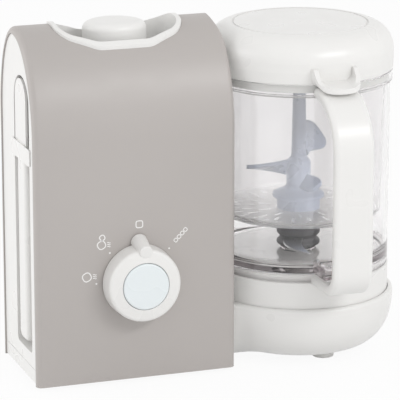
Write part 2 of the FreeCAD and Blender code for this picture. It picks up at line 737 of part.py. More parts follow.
def selector_switch():
    half = SWITCH_W / 2
    front = switch_front()
    body = prism(rectangle(DIAL_X - half, DIAL_Z - half, DIAL_X + half, DIAL_Z + half, SWITCH_EDGE_R),
                 on_front(front), BACK * SWITCH_D)
    return body.cut(rod_y(SELECTOR_R + RUN, front - CUT, front + SWITCH_D - SWITCH_WALL, DIAL_X, DIAL_Z))


def control_board():
    """Circuit board behind the switch, with its relay, transformer and capacitors."""
    front = switch_front() + SWITCH_D + SEAT
    back = front + BOARD_T
    left = DIAL_X - BOARD_W + BOARD_REACH
    low = DIAL_Z - BOARD_H / 2
    board = box((left, front, low), (left + BOARD_W, back, low + BOARD_H))
    parts = []
    for across, up, width, height, depth in BOARD_BLOCKS:
        x = left + across * BOARD_W
        z = low + up * BOARD_H
        parts.append(box((x, back, z), (x + width * BOARD_W, back + depth, z + height * BOARD_H)))
    for share in CAN_SHARES:
        parts.append(rod_y(CAN_R, back, back + CAN_H, left + 0.61 * BOARD_W, low + share * BOARD_H))
    return fused(board, *parts)


# Motor and belt

def motor():
    bore = MOTOR_SHAFT_R + FIT
    top = MOTOR_Z + MOTOR_H
    return turned([(bore, MOTOR_Z, 0), (MOTOR_R, MOTOR_Z, MOTOR_EDGE_R), (MOTOR_R, top, MOTOR_EDGE_R),
                   (bore, top, 0)], MOTOR_X, BOWL_Y)


def motor_bracket():
    half = MOTOR_R + BRACKET_T
    plate = prism(rectangle(MOTOR_X - half, BOWL_Y - half, MOTOR_X + half, BOWL_Y + half, BRACKET_EDGE_R),
                  on_plan(BRACKET_Z), UP * (BRACKET_T - SNUG))
    posts = [disc(BRACKET_POST_R, COVER_TOP, BRACKET_Z + SEAT, x, y) for x, y in post_places()]
    holes = [disc(SCREW_R + SNUG, COVER_TOP - CUT, COVER_TOP + SCREW_GRIP + CUT, x, y)
             for x, y in post_places()]
    shaft_hole = disc(2 * MOTOR_SHAFT_R, BRACKET_Z - CUT, BRACKET_Z + BRACKET_T + CUT, MOTOR_X, BOWL_Y)
    return fused(plate, *posts).cut(holes + [shaft_hole])


def motor_shaft():
    return disc(MOTOR_SHAFT_R, BELT_Z - SHAFT_END, MOTOR_Z + MOTOR_H + SHAFT_END, MOTOR_X, BOWL_Y)


def pulley(radius, bore, x):
    """Drum between two flanges that keep the belt on."""
    low = BELT_Z - FIT
    high = BELT_Z + BELT_W + FIT
    flange = radius + BELT_T
    under = low - PULLEY_FLANGE_T
    over = high + PULLEY_FLANGE_T
    drum = radius - SEAT
    return turned([(bore, under, 0), (flange, under, 0), (flange, low, 0), (drum, low, 0), (drum, high, 0),
                   (flange, high, 0), (flange, over, 0), (bore, over, 0)], x, BOWL_Y)


def motor_pulley():
    return pulley(MOTOR_PULLEY_R, MOTOR_SHAFT_R + SNUG, MOTOR_X)


def drive_pulley():
    return pulley(DRIVE_PULLEY_R, DRIVE_R + SNUG, BOWL_X)


def belt_loop(grow):
    """Outline of the belt round both pulleys, as a face on its lower plane."""
    small = MOTOR_PULLEY_R + grow
    large = DRIVE_PULLEY_R + grow
    span = BOWL_X - MOTOR_X
    lean = math.asin((large - small) / span)
    place = on_plan(BELT_Z)

    def rim(centre_x, radius, angle):
        return place(centre_x + radius * math.cos(angle), BOWL_Y + radius * math.sin(angle))

    side = math.pi / 2 + lean
    motor_far = rim(MOTOR_X, small, side)
    motor_near = rim(MOTOR_X, small, -side)
    bowl_far = rim(BOWL_X, large, side)
    bowl_near = rim(BOWL_X, large, -side)
    edges = [Part.Arc(motor_far, rim(MOTOR_X, small, math.pi), motor_near).toShape(),
             Part.makeLine(motor_near, bowl_near),
             Part.Arc(bowl_near, rim(BOWL_X, large, 0), bowl_far).toShape(),
             Part.makeLine(bowl_far, motor_far)]
    return Part.Face(Part.Wire(edges))


def drive_belt():
    outer = belt_loop(BELT_T).extrude(UP * BELT_W)
    return outer.cut(belt_loop(0).extrude(UP * BELT_W))


# Base under the bowl

def base_section(radius, half, z):
    """Plan of the base at one height: the round cup, drawn into the neck by two hollow curves."""
    blend = NECK_BLEND_R
    start = TOWER_RIGHT - NECK_BLEND_R
    reach = math.sqrt((radius + blend) ** 2 - (half + blend) ** 2)
    bend_x = BOWL_X - reach
    touch_x = BOWL_X - reach * radius / (radius + blend)
    touch_y = (half + blend) * radius / (radius + blend)
    turn = (math.pi / 2 + math.atan2(half + blend, reach)) / 2
    middle_x = bend_x + blend * math.cos(turn)
    middle_y = half + blend - blend * math.sin(turn)
    near = V(start, BOWL_Y - half, z)
    far = V(start, BOWL_Y + half, z)
    edges = [Part.makeLine(near, V(bend_x, BOWL_Y - half, z)),
             Part.Arc(V(bend_x, BOWL_Y - half, z), V(middle_x, BOWL_Y - middle_y, z),
                      V(touch_x, BOWL_Y - touch_y, z)).toShape(),
             Part.Arc(V(touch_x, BOWL_Y - touch_y, z), V(BOWL_X + radius, BOWL_Y, z),
                      V(touch_x, BOWL_Y + touch_y, z)).toShape(),
             Part.Arc(V(touch_x, BOWL_Y + touch_y, z), V(middle_x, BOWL_Y + middle_y, z),
                      V(bend_x, BOWL_Y + half, z)).toShape(),
             Part.makeLine(V(bend_x, BOWL_Y + half, z), far),
             Part.makeLine(far, near)]
    return Part.Wire(edges)


def base_cup(inset, low, belly):
    """Rounded cup with its neck, swelling from the underside up to the belly."""
    sections = []
    for turn in (90.0, 72.0, 50.0, 25.0, 0.0):
        swell = math.cos(math.radians(turn))
        z = belly - (belly - low) * math.sin(math.radians(turn))
        radius = BASE_BOTTOM_R + (BASE_R - BASE_BOTTOM_R) * swell - inset
        half = NECK_LOW_W + (NECK_TOP_W - NECK_LOW_W) * swell - inset
        sections.append(base_section(radius, half, z))
    return Part.makeLoft(sections, True, False)


def base_housing():
    """Round cup under the bowl, its neck to the tower and the plate that closes the tower's side."""
    side_x = TOWER_RIGHT - PANEL_INSET
    floor = BASE_FOOT_H + BASE_T
    rim = Part.Face(base_section(BASE_R, NECK_TOP_W, BASE_BELLY_Z)).extrude(UP * (BASE_TOP - BASE_BELLY_Z))
    shoulder = edges_where(rim, lambda b: b.ZMin > BASE_TOP - 1e-6 and b.XMax > side_x)
    rim = rim.makeFillet(BASE_SHOULDER_R, shoulder)
    cup = fused(base_cup(0, BASE_FOOT_H, BASE_BELLY_Z), rim)
    front = TOWER_FRONT - TOWER_D
    back = TOWER_BACK + TOWER_D
    tower_room = box((TOWER_LEFT, front, 0), (side_x, back, TOWER_H))
    lip = SHELL_LIP + FIT
    plate = box((side_x - PANEL_T, TOWER_FRONT + lip, COVER_Z), (side_x, TOWER_BACK - lip, BASE_TOP))
    lips = [box((side_x, y, 0), (TOWER_RIGHT + SEAT, y + TOWER_D, TOWER_H))
            for y in (TOWER_FRONT + lip - TOWER_D, TOWER_BACK - lip)]
    body = fused(cup.cut([tower_room] + lips), plate)
    rim_in = COLLAR_R + 2 * FIT
    inside = base_cup(BASE_T, floor, DECK_Z - DECK_T - BASE_T)
    inside = inside.cut(box((TOWER_LEFT, front, 0), (side_x - PANEL_T - CUT, back, TOWER_H)))
    well = disc(rim_in - BASE_T, BASE_BELLY_Z - BASE_T, DECK_Z, BOWL_X, BOWL_Y)
    seat = disc(rim_in, DECK_Z - DECK_T - SEAT, BASE_TOP + CUT, BOWL_X, BOWL_Y)
    pivot = ring(DRIVE_R + PIVOT_T, DRIVE_R + RUN, floor - BASE_T / 2, floor + PIVOT_H, BOWL_X, BOWL_Y)
    return fused(body.cut([inside, well, seat]), pivot)


def base_deck():
    """Round deck that the bowl stands on, with the boss for the drive bearing."""
    low = DECK_Z - DECK_T
    plate = disc(COLLAR_R + FIT, low, DECK_Z, BOWL_X, BOWL_Y)
    boss = disc(BEARING_R + BEARING_BOSS_T, low - BEARING_H, DECK_Z, BOWL_X, BOWL_Y)
    guard_r = COUPLING_R + GUARD_GAP
    guard = ring(guard_r + GUARD_T, guard_r, low, DECK_Z + GUARD_H, BOWL_X, BOWL_Y)
    bore = disc(BEARING_R + SNUG, low - BEARING_H - CUT, DECK_Z + CUT, BOWL_X, BOWL_Y)
    return fused(plate, boss, guard).cut(bore)


def drive_bearing():
    return ring(BEARING_R, DRIVE_R + RUN, DECK_Z - DECK_T - BEARING_H, DECK_Z, BOWL_X, BOWL_Y)


def drive_shaft():
    return disc(DRIVE_R, BASE_FOOT_H + BASE_T + SEAT, COUPLING_Z + COUPLING_T + DOG_H, BOWL_X, BOWL_Y)


def dogs(outer, inner, low, high, turn):
    """Two opposite drive dogs, each a sector of a ring."""
    sectors = []
    for half_turn in (0, 180):
        sector = Part.makeCylinder(outer, high - low, V(BOWL_X, BOWL_Y, low), UP, DOG_ANGLE)
        sector.rotate(V(BOWL_X, BOWL_Y, 0), UP, turn + half_turn - DOG_ANGLE / 2)
        sectors.append(sector.cut(disc(inner, low - CUT, high + CUT, BOWL_X, BOWL_Y)))
    return sectors


def drive_coupling():
    top = COUPLING_Z + COUPLING_T
    hub = disc(COUPLING_R, COUPLING_Z, top, BOWL_X, BOWL_Y)
    hub = fused(hub, *dogs(COUPLING_R - DOG_INSET, DOG_R, top - COUPLING_T / 4, top + DOG_H, 0))
    return hub.cut(disc(DRIVE_R + SNUG, COUPLING_Z - CUT, top + DOG_H + CUT, BOWL_X, BOWL_Y))


# Bowl with its collar and handle

def spindle_bush():
    bore = SPINDLE_R + RUN
    sleeve = ring(BUSH_R, bore, BUSH_Z, FLOOR_Z + BUSH_RISE, BOWL_X, BOWL_Y)
    return fused(sleeve, ring(BUSH_R + BUSH_FLANGE, bore, BUSH_Z, BUSH_Z + BUSH_FLANGE_T, BOWL_X, BOWL_Y))


def bowl():
    under = FLOOR_Z - BOWL_FLOOR_T
    skirt_r = COLLAR_R - COLLAR_T - SEAT
    skirt_z = COLLAR_Z + COLLAR_FOOT_H + FIT
    bore = BUSH_R + SEAT
    boss_r = bore + BUSH_BOSS_T
    boss_z = BUSH_Z + BUSH_FLANGE_T + SEAT
    crown_z = FLOOR_Z + BUSH_RISE / 2
    cup = turned([(skirt_r - BOWL_T, skirt_z, 0), (skirt_r, skirt_z, 0), (skirt_r, COLLAR_TOP + SEAT, 0),
                  (BOWL_R, COLLAR_TOP + SEAT, BOWL_EDGE_R), (BOWL_R, LEDGE_Z - BOWL_RIM_SWELL, 0),
                  (RIM_R, LEDGE_Z, 0), (RIM_R, RIM_Z, BOWL_EDGE_R), (RIM_R - BOWL_T, RIM_Z, BOWL_EDGE_R),
                  (RIM_R - BOWL_T, LEDGE_Z, 0), (BOWL_INNER_R, LEDGE_Z, 0),
                  (BOWL_INNER_R, FLOOR_Z, BOWL_CORNER_R), (boss_r, FLOOR_Z, 0), (boss_r, crown_z, 0),
                  (bore, crown_z, 0), (bore, boss_z, 0), (boss_r, boss_z, 0), (boss_r, under, 0),
                  (skirt_r - BOWL_T, under, BOWL_UNDER_R)], BOWL_X, BOWL_Y)
    return fused(cup, bowl_lug())


def bowl_lug():
    """Clear lug in the crook of the handle's lower arm."""
    wall = BOWL_Y - BOWL_R + 0.75 * BOWL_T
    front = BOWL_Y - BOWL_R - LUG_REACH
    low = COLLAR_TOP - ARM_SINK + ARM_T + FIT
    lug = prism([(wall, low, 0), (front, low, LUG_EDGE_R), (front + LUG_EDGE_R, low + LUG_H, LUG_EDGE_R),
                 (wall, low + LUG_H, 0)], on_side(BOWL_X - LUG_W / 2), RIGHT * LUG_W)
    sides = edges_where(lug, lambda b: b.XLength < 1e-6 and b.YMin < wall - 1e-3 and b.ZMax > low + 1e-3)
    return lug.makeFillet(LUG_EDGE_R / 2, sides)


def bowl_collar():
    """White collar round the bowl's foot, with a cup inside that closes the space under the clear floor."""
    inner = COLLAR_R - COLLAR_T
    cup = inner - SEAT - BOWL_T - FIT
    hole = BUSH_R + SEAT + BUSH_BOSS_T + FIT
    foot = COLLAR_Z + COLLAR_FOOT_H
    top = FLOOR_Z - BOWL_FLOOR_T - SEAT
    low = top - COLLAR_T
    return turned([(cup - COLLAR_T, COLLAR_Z, 0), (COLLAR_R, COLLAR_Z, COLLAR_EDGE_R),
                   (COLLAR_R, COLLAR_TOP, COLLAR_EDGE_R), (inner, COLLAR_TOP, 0), (inner, foot, 0),
                   (cup, foot, 0), (cup, top, BOWL_UNDER_R + FIT), (hole, top, 0), (hole, low, 0),
                   (cup - COLLAR_T, low, 0)], BOWL_X, BOWL_Y)


def handle():
    """Open loop from the bowl's rim to its collar; the grip faces the front."""
    top = RIM_Z - HANDLE_DROP
    low = COLLAR_TOP - ARM_SINK
    root = BOWL_Y - BOWL_R + HANDLE_ROOT
    grip = BOWL_Y - GRIP_R
    inner = grip + HANDLE_T
    loop = prism([(root, top, 0), (grip, top, HANDLE_TOP_R), (grip, low, HANDLE_LOW_R), (root, low, 0),
                  (root, low + ARM_T, 0), (inner, low + ARM_T, HANDLE_LOW_R - HANDLE_T),
                  (inner, top - ARM_T, HANDLE_TOP_R - HANDLE_T), (root, top - ARM_T, 0)],
                 on_side(BOWL_X - HANDLE_W / 2), RIGHT * HANDLE_W)
    long_edges = edges_where(loop, lambda b: b.XLength < 1e-6 and b.YMin < root - 1e-3)
    body = loop.makeFillet(HANDLE_EDGE_R, long_edges)
    wall = disc(BOWL_R + COLLAR_SWELL + SEAT, low - CUT, LEDGE_Z, BOWL_X, BOWL_Y)
    rim = disc(RIM_R + SEAT, LEDGE_Z - BOWL_RIM_SWELL - SEAT, RIM_Z, BOWL_X, BOWL_Y)
    return body.cut([wall, rim])


# Blade, basket and paddle

def blade_spindle():
    """Steel spindle with the driven coupling under the bowl floor."""
    shaft = disc(SPINDLE_R, DRIVEN_Z, HUB_Z + HUB_H - HUB_CROWN_T, BOWL_X, BOWL_Y)
    plate = disc(COUPLING_R, DRIVEN_Z, DRIVEN_Z + COUPLING_T, BOWL_X, BOWL_Y)
    driven = dogs(COUPLING_R - DOG_INSET, DOG_R, DRIVEN_Z - DOG_H, DRIVEN_Z + COUPLING_T / 4, 90)
    return fused(shaft, plate, *driven)


def blade_hub():
    """Waisted hub on the spindle, with the stub and two dogs that turn the paddle."""
    top = HUB_Z + HUB_H
    bore = SPINDLE_R + SNUG
    body = turned([(bore, HUB_Z, 0), (HUB_R, HUB_Z, 1.5), (HUB_R, HUB_Z + 0.14 * HUB_H, 1.0),
                   (HUB_WAIST_R, HUB_Z + 0.33 * HUB_H, 2.0), (HUB_R, HUB_Z + 0.52 * HUB_H, 2.0),
                   (HUB_R, top, 1.0), (0, top, 0), (0, top - HUB_CROWN_T, 0),
                   (bore, top - HUB_CROWN_T, 0)], BOWL_X, BOWL_Y)
    root = top - HUB_CROWN_T / 10
    stub = [disc(STUB_CORE_R, root, top + STUB_H, BOWL_X, BOWL_Y)]
    stub += dogs(STUB_R, STUB_CORE_R / 2, root, top + STUB_H, 0)
    return fused(body, *stub).cut(blade_plate(SNUG))


def blade_plate(grow):
    """S-shaped double blade: two sickle arms swept back from the middle."""
    half = BLADE_W / 2 + grow
    reach = BLADE_REACH
    arms = []
    for side in (1, -1):
        tip = V(side * reach, side * BLADE_W * 1.1, 0)
        outer = V(0, side * half, 0)
        inner = V(0, -side * half, 0)
        edges = [Part.makeLine(inner, outer),
                 Part.Arc(outer, V(side * reach * 0.55, side * half * 0.9, 0), tip).toShape(),
                 Part.Arc(tip, V(side * reach * 0.75, -side * half * 0.2, 0), inner).toShape()]
        arms.append(Part.Face(Part.Wire(edges)).extrude(UP * (BLADE_T + 2 * grow)))
    blade = fused(arms[0], arms[1])
    blade.rotate(V(0, 0, 0), UP, BLADE_TURN)
    blade.translate(V(BOWL_X, BOWL_Y, HUB_Z + BLADE_RISE - grow))
    return blade


def blades():
    return blade_plate(0).cut(disc(SPINDLE_R + SNUG, HUB_Z, HUB_Z + HUB_H, BOWL_X, BOWL_Y))


def steam_basket():
    """Clear basket hung from the bowl's rim, with rings of slots in its floor."""
    top_r = BOWL_INNER_R - BASKET_GAP
    low_r = top_r - BASKET_TAPER
    rim_r = RIM_R - BOWL_T - FIT
    rim_z = LEDGE_Z + SEAT
    rim_top = rim_z + BASKET_RIM_T
    under = BASKET_Z - BASKET_FLOOR_T
    hole = PADDLE_FOOT_R + PADDLE_PLAY
    shell = turned([(hole, under, 0), (low_r, under, BASKET_FOOT_R), (top_r, rim_z, 0), (rim_r, rim_z, 0),
                    (rim_r, rim_top, 0), (top_r - BASKET_T, rim_top, BASKET_T / 3),
                    (low_r - BASKET_T, BASKET_Z, BASKET_FOOT_R - BASKET_T / 2), (hole, BASKET_Z, 0)],
                   BOWL_X, BOWL_Y)
    slots = []
    first = PADDLE_FLANGE_R + SLOT_MARGIN
    gap = (low_r - 2 * SLOT_MARGIN - first) / len(SLOT_COUNTS)
    for step, count in enumerate(SLOT_COUNTS):
        start = first + step * gap
        for i in range(count):
            slot = box((start, -SLOT_W / 2, under - CUT), (start + SLOT_L, SLOT_W / 2, BASKET_Z + CUT))
            slot.rotate(V(0, 0, 0), UP, (i + 0.5 * (step % 2)) * 360.0 / count)
            slot.translate(V(BOWL_X, BOWL_Y, 0))
            slots.append(slot)
    return shell.cut(slots)


def vane(height, reach, chord, taper, pitch, turn):
    """Twisted vane: steep at the column, with its own pitch and a narrower chord at the tip."""
    reach = reach * BOWL_R
    chord = chord * BOWL_R
    sections = []
    for out, narrow in ((0.0, 1.0), (0.5, 1.0), (0.88, 0.98), (1.0, 0.62)):
        radius = COLUMN_R / 2 + (reach - COLUMN_R / 2) * out
        half = narrow * chord * (1 - (1 - taper) * out) / 2
        outline = rounded_wire(rectangle(-half, -VANE_T / 2, half, VANE_T / 2, VANE_T * 0.45),
                               lambda t, z, r=radius: V(r, t, z))
        outline.rotate(V(0, 0, 0), RIGHT, VANE_ROOT_PITCH + (pitch - VANE_ROOT_PITCH) * out ** 0.7)
        sections.append(outline)
    solid = Part.makeLoft(sections, True, False)
    solid.rotate(V(0, 0, 0), UP, turn)
    solid.translate(V(BOWL_X, BOWL_Y, BASKET_Z + height * PADDLE_RISE))
    return solid


def paddle():
    """Stirring paddle: a round foot over the hub's stub, a slim column and three twisted vanes."""
    low = HUB_Z + HUB_H + FIT
    flange = BASKET_Z + PADDLE_FOOT_RISE
    neck = flange + PADDLE_FLANGE_T
    top = BASKET_Z + PADDLE_RISE
    shoulder = neck + PADDLE_CONE_H + PADDLE_NECK_H
    body = turned([(0, low, 0), (PADDLE_FOOT_R, low, 1.0), (PADDLE_FOOT_R, flange, 0),
                   (PADDLE_FLANGE_R, flange, 1.0), (PADDLE_FLANGE_R, neck, 1.2),
                   (PADDLE_NECK_R, neck + PADDLE_CONE_H, 4.0), (PADDLE_NECK_R, shoulder, 3.0),
                   (COLUMN_R, shoulder + PADDLE_EASE, 3.0), (COLUMN_R * 0.85, top, 3.0), (0, top, 0)],
                  BOWL_X, BOWL_Y)
    vanes = [vane(*sizes, VANE_ANGLE - 120.0 * i) for i, sizes in enumerate(VANES)]
    roof = low + STUB_H + FIT
    socket = disc(STUB_R + FIT, low - CUT, roof, BOWL_X, BOWL_Y)
    socket = socket.cut(dogs(STUB_R + 2 * FIT, STUB_CORE_R + FIT, low, roof, 90))
    return fused(body, *vanes).cut(socket)


# Lid

def lid_seal():
    outer = RIM_R - BOWL_T - FIT
    low = LEDGE_Z + SEAT + BASKET_RIM_T + SEAT
    return ring(outer, outer - LID_SEAL_W, low, RIM_Z - FIT, BOWL_X, BOWL_Y)


def lid():
    """Domed lid with a ring groove on top, a skirt inside the seal and a finger tab over the handle."""
    top = LID_Z + LID_H
    deck = top - LID_CROWN
    roof = deck - LID_T
    skirt_r = RIM_R - BOWL_T - FIT - LID_SEAL_W - FIT
    skirt_z = LID_Z - LID_SKIRT_H
    wall = LID_R - LID_T
    groove = LID_GROOVE_W / 2
    dome = turned([(skirt_r - LID_T, skirt_z, 0), (skirt_r, skirt_z, LID_EDGE_R), (skirt_r, LID_Z, 0),
                   (LID_R - LID_DRAFT / 2, LID_Z, LID_EDGE_R), (LID_R, LID_Z + LID_H / 4, 0),
                   (LID_R - LID_DRAFT, deck, LID_SHOULDER_R - LID_T), (LID_GROOVE_R + groove, deck, 0),
                   (LID_GROOVE_R + groove / 2, deck - LID_GROOVE_D, 0),
                   (LID_GROOVE_R - groove / 2, deck - LID_GROOVE_D, 0), (LID_GROOVE_R - groove, deck, 0),
                   (0, top, 0), (0, top - LID_T, 0), (LID_GROOVE_R, roof, 0),
                   (wall - LID_DRAFT, roof, LID_SHOULDER_R - 2 * LID_T), (wall, LID_Z + LID_T, 0),
                   (skirt_r - LID_T, LID_Z + LID_T, 0)], BOWL_X, BOWL_Y)
    return fused(dome, finger_tab())


def finger_tab():
    """Scoop over the handle: a tilted channel with a round tongue, its side walls falling towards the lip."""
    side = BOWL_Y - LID_R
    front = side - TAB_REACH
    under = RIM_Z - HANDLE_DROP + TAB_GAP
    left = BOWL_X - TAB_W
    right = BOWL_X + TAB_W
    run = BACK * (TAB_REACH + TAB_ROOT + 2 * CUT)
    outer = prism(rectangle(left, under, right, under + 2 * TAB_RISE, TAB_CORNER_R),
                  on_front(front - CUT), run)
    bore = prism(rectangle(left + TAB_WALL, under + TAB_T, right - TAB_WALL, under + 3 * TAB_RISE,
                           TAB_CORNER_R - TAB_WALL / 2), on_front(front - 2 * CUT), run * 2)
    channel = outer.cut(bore)
    channel.rotate(V(BOWL_X, side, under), RIGHT, TAB_TILT)
    round_end = TAB_W - 0.5
    tongue = prism([(left, side + TAB_ROOT, 0), (left, front, round_end), (right, front, round_end),
                    (right, side + TAB_ROOT, 0)], on_plan(FLOOR_Z), UP * (TOWER_H - FLOOR_Z))
    above = prism([(front - CUT, LID_Z + TAB_RIM, 0),
                   (side - TAB_REACH / 2, LID_Z + 2 * TAB_RIM, TAB_CORNER_R),
                   (side - TAB_T / 2, LID_Z + TAB_RISE, TAB_T / 2),
                   (side + 2 * TAB_ROOT, LID_Z + TAB_RISE, 0),
                   (side + 2 * TAB_ROOT, TOWER_H, 0), (front - CUT, TOWER_H, 0)],
                  on_side(left - CUT), RIGHT * (2 * TAB_W + 2 * CUT))
    room = disc(RIM_R + FIT, FLOOR_Z, LID_Z, BOWL_X, BOWL_Y)
    hollow = disc(LID_R - LID_T / 2, LID_Z - CUT, TOWER_H, BOWL_X, BOWL_Y)
    return channel.common(tongue).cut([above, room, hollow])


# Spatula

def spatula():
    """Spatula upright in the recess: a chunky handle, a cross strap on the panel and a thin round blade."""
    outer_x = TOWER_LEFT + PANEL_INSET
    face_x = outer_x + RECESS_DEPTH - FIT - SPATULA_T
    recess_front = TOWER_FRONT + RECESS_SETBACK
    recess_back = recess_front + RECESS_W
    middle = recess_back - SCRAPER_BACK - SCRAPER_W / 2
    low = RECESS_BOTTOM + SPATULA_LIFT
    top = RECESS_TOP - SCRAPER_GAP
    strap_low = STRAP_Z - STRAP_H / 2
    strap_top = STRAP_Z + STRAP_H / 2
    near = middle - SPATULA_W / 2
    far = middle + SPATULA_W / 2
    grip = prism([(near, low, SPATULA_W / 3), (far, low, SPATULA_W / 3), (far, strap_top, 0),
                  (near, strap_top, 0)], on_side(face_x), RIGHT * SPATULA_T)
    long_edges = edges_where(grip, lambda b: b.XMax < face_x + 1e-6 and b.ZMin < strap_top - 1e-6)
    grip = grip.makeFillet(SPATULA_EDGE_R, long_edges)
    round_end = SCRAPER_W / 2 - 0.01
    scraper = prism([(middle - SCRAPER_W / 2, strap_low, 0), (middle + SCRAPER_W / 2, strap_low, 0),
                     (middle + SCRAPER_W / 2, top, round_end), (middle - SCRAPER_W / 2, top, round_end)],
                    on_side(outer_x + FIT), RIGHT * SCRAPER_T)
    strap_x = outer_x - STRAP_PROUD
    strap = rectangle(recess_front - STRAP_FRONT, strap_low, recess_back + STRAP_BACK, strap_top, STRAP_R)
    strap = prism(strap, on_side(strap_x), RIGHT * (STRAP_PROUD - SEAT))
    core = box((strap_x, near + STRAP_R, strap_low), (outer_x + SPATULA_T / 2, far - STRAP_R, strap_top))
    return fused(grip, scraper, strap, core)


PIECES = (
    outer_shell, left_side_panel, right_side_panel, well_liner, bottom_cover, cover_screws, feet, cord_gland,
    water_tank, heating_plate, thermostat, steam_hose, steam_nozzle, boiler_cap_seal, boiler_cap,
    dial, start_button, button_spring, selector_shaft, selector_switch, control_board,
    motor, motor_bracket, motor_shaft, motor_pulley, drive_pulley, drive_belt,
    base_housing, base_deck, drive_bearing, drive_shaft, drive_coupling,
    spindle_bush, bowl, bowl_collar, handle, blade_spindle, blade_hub, blades, steam_basket, paddle,
    lid_seal, lid, spatula)

os.makedirs("parts", exist_ok=True)
for piece in PIECES:
    shape = piece()
    shape.exportStep(f"parts/{piece.__name__}.step")
    volume = round(shape.Volume / 1000, 1)
    print(piece.__name__, len(shape.Solids), "solid(s),", volume, "cm3, valid", shape.isValid())
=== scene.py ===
import math

import bmesh
import bpy
from mathutils import Matrix, Vector


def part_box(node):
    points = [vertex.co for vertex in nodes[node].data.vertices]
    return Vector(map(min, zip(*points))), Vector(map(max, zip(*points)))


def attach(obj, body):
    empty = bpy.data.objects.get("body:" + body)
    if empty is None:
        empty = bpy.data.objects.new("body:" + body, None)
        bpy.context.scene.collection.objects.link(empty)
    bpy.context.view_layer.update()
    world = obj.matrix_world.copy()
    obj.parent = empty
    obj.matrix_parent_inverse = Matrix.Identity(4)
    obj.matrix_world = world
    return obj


# Looks of the baby food maker: satin taupe wrap, soft white plastic, clear bowl, tinted paddle.
# Metres, +Z up, the front faces -Y.

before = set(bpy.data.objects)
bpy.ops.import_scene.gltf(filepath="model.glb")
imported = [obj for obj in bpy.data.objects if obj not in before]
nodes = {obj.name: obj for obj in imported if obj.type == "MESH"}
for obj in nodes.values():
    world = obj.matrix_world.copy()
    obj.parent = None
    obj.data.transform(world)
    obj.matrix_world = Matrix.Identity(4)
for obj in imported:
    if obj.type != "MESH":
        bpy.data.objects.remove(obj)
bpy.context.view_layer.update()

shell_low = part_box("outer_shell")[0]
TOWER_LEFT = shell_low.x
TOWER_FRONT = shell_low.y
BASKET_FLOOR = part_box("steam_basket")[0].z
PADDLE_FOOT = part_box("paddle")[0].z

STEAM_MARK = (0.0375, 0.0823)   # x from the tower's left edge, and z
BLEND_MARK = (0.0486, 0.1050)
OFF_MARK = (0.0769, 0.1179)
TURNS_MARK = (0.1079, 0.1072)
MARK_DOTS = ((0.0445, 0.0768), (0.0547, 0.0987), (0.0992, 0.0980))
LOOP_TURN = 0.5        # tilt of the soft loops, in radians
LOOP_POWER = 2.6
TURNS_STEP = 0.0024
PRINT_RISE = 0.00012   # marks proud of the tower's front
PRINT_SINK = 0.00002   # and how far their edges reach into it
MARK_LINE = 0.0008
LOOP_POINTS = 28
WAVE_STEPS = 10
WAVE_RISE = 0.0003
WAVE_HEIGHTS = (-0.0014, 0.0, 0.0014)


# Materials

def new_material(name):
    """Material with its node tree and its main shader."""
    made = bpy.data.materials.new(name)
    made.use_nodes = True
    return made, made.node_tree, made.node_tree.nodes["Principled BSDF"]


def noise(tree, scale, detail=3.0, stretch=None):
    """Noise in the object's own metres, stretched along an axis if asked."""
    place = tree.nodes.new("ShaderNodeTexCoord")
    texture = tree.nodes.new("ShaderNodeTexNoise")
    texture.inputs["Scale"].default_value = scale
    texture.inputs["Detail"].default_value = detail
    source = place.outputs["Object"]
    if stretch:
        mapping = tree.nodes.new("ShaderNodeMapping")
        mapping.inputs["Scale"].default_value = stretch
        tree.links.new(source, mapping.inputs["Vector"])
        source = mapping.outputs["Vector"]
    tree.links.new(source, texture.inputs["Vector"])
    return texture


def spread(tree, texture, low, high):
    """Noise turned into a value between low and high."""
    scale = tree.nodes.new("ShaderNodeMapRange")
    scale.inputs["From Min"].default_value = 0.3
    scale.inputs["From Max"].default_value = 0.7
    scale.inputs["To Min"].default_value = low
    scale.inputs["To Max"].default_value = high
    tree.links.new(texture.outputs["Fac"], scale.inputs["Value"])
    return scale.outputs["Result"]


def tint(tree, texture, first, second):
    """Noise turned into a colour between two close shades."""
    ramp = tree.nodes.new("ShaderNodeValToRGB")
    ramp.color_ramp.elements[0].position = 0.25
    ramp.color_ramp.elements[1].position = 0.75
    ramp.color_ramp.elements[0].color = (*first, 1)
    ramp.color_ramp.elements[1].color = (*second, 1)
    tree.links.new(texture.outputs["Fac"], ramp.inputs["Fac"])
    return ramp.outputs["Color"]


def relief(tree, shader, texture, strength, depth):
    """Fine surface relief from a noise."""
    bump = tree.nodes.new("ShaderNodeBump")
    bump.inputs["Strength"].default_value = strength
    bump.inputs["Distance"].default_value = depth
    tree.links.new(texture.outputs["Fac"], bump.inputs["Height"])
    tree.links.new(bump.outputs["Normal"], shader.inputs["Normal"])


def moulded(name, colour, shade, rough, grain=1600.0, depth=0.000004, strength=0.2):
    """Moulded plastic: a cloudy shade, an uneven gloss and a fine eroded grain."""
    made, tree, shader = new_material(name)
    darker = tuple(c * shade for c in colour)
    tree.links.new(tint(tree, noise(tree, 9.0, 1.0), darker, colour), shader.inputs["Base Color"])
    tree.links.new(spread(tree, noise(tree, 40.0, 1.0), *rough), shader.inputs["Roughness"])
    relief(tree, shader, noise(tree, grain, 2.0), strength, depth)
    return made


def by_height(tree, low, high, first, second):
    """Value that goes from first to second between two heights of the piece."""
    place = tree.nodes.new("ShaderNodeTexCoord")
    split = tree.nodes.new("ShaderNodeSeparateXYZ")
    scale = tree.nodes.new("ShaderNodeMapRange")
    scale.inputs["From Min"].default_value = low
    scale.inputs["From Max"].default_value = high
    scale.inputs["To Min"].default_value = first
    scale.inputs["To Max"].default_value = second
    tree.links.new(place.outputs["Object"], split.inputs["Vector"])
    tree.links.new(split.outputs["Z"], scale.inputs["Value"])
    return scale.outputs["Result"]


